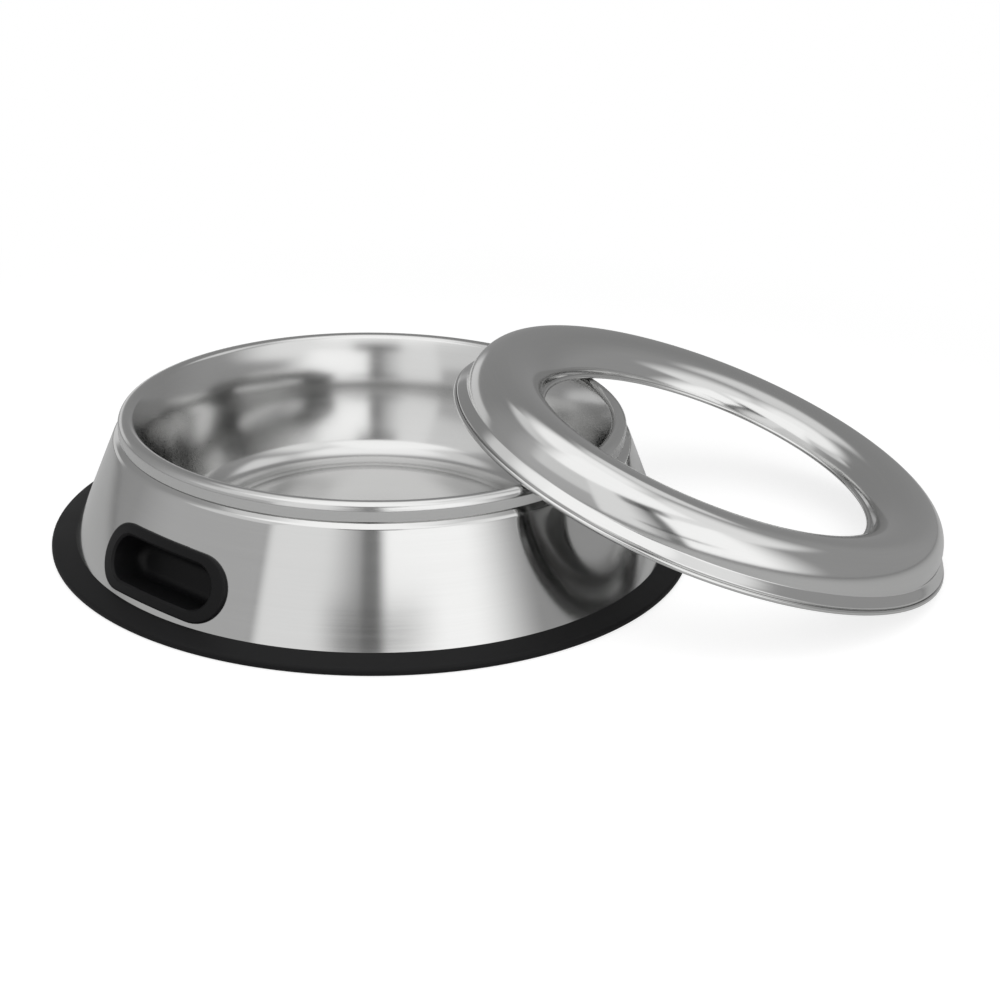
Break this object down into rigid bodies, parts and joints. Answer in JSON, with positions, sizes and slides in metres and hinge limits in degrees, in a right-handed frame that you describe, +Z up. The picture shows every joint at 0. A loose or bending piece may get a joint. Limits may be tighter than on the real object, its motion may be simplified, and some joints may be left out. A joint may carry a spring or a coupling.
{
  "type": "dog water bowl",
  "caption": "Low round steel water bowl with a flared skirt, rubber foot and finger grips, and its domed splash ring leaning on the rim.",
  "frame": {"origin": "on the bowl's axis, at the floor that its rubber foot stands on", "axes": "+Z up along the bowl's axis, +X towards the splash ring, which leans a little to the front of it, -Y towards the viewer of the picture"},
  "size_m": [0.3755, 0.27, 0.0837],
  "materials": {
    "steel": "satin polished stainless sheet",
    "foot_rubber": "matte black",
    "grip_plastic": "fine matte black"
  },
  "bodies": {
    "root": {"basin": "steel", "outer_skirt": "steel", "splash_ring": "steel", "foot_ring": "foot_rubber", "grip_front": "grip_plastic", "grip_rear": "grip_plastic"}
  },
  "joints": []
}
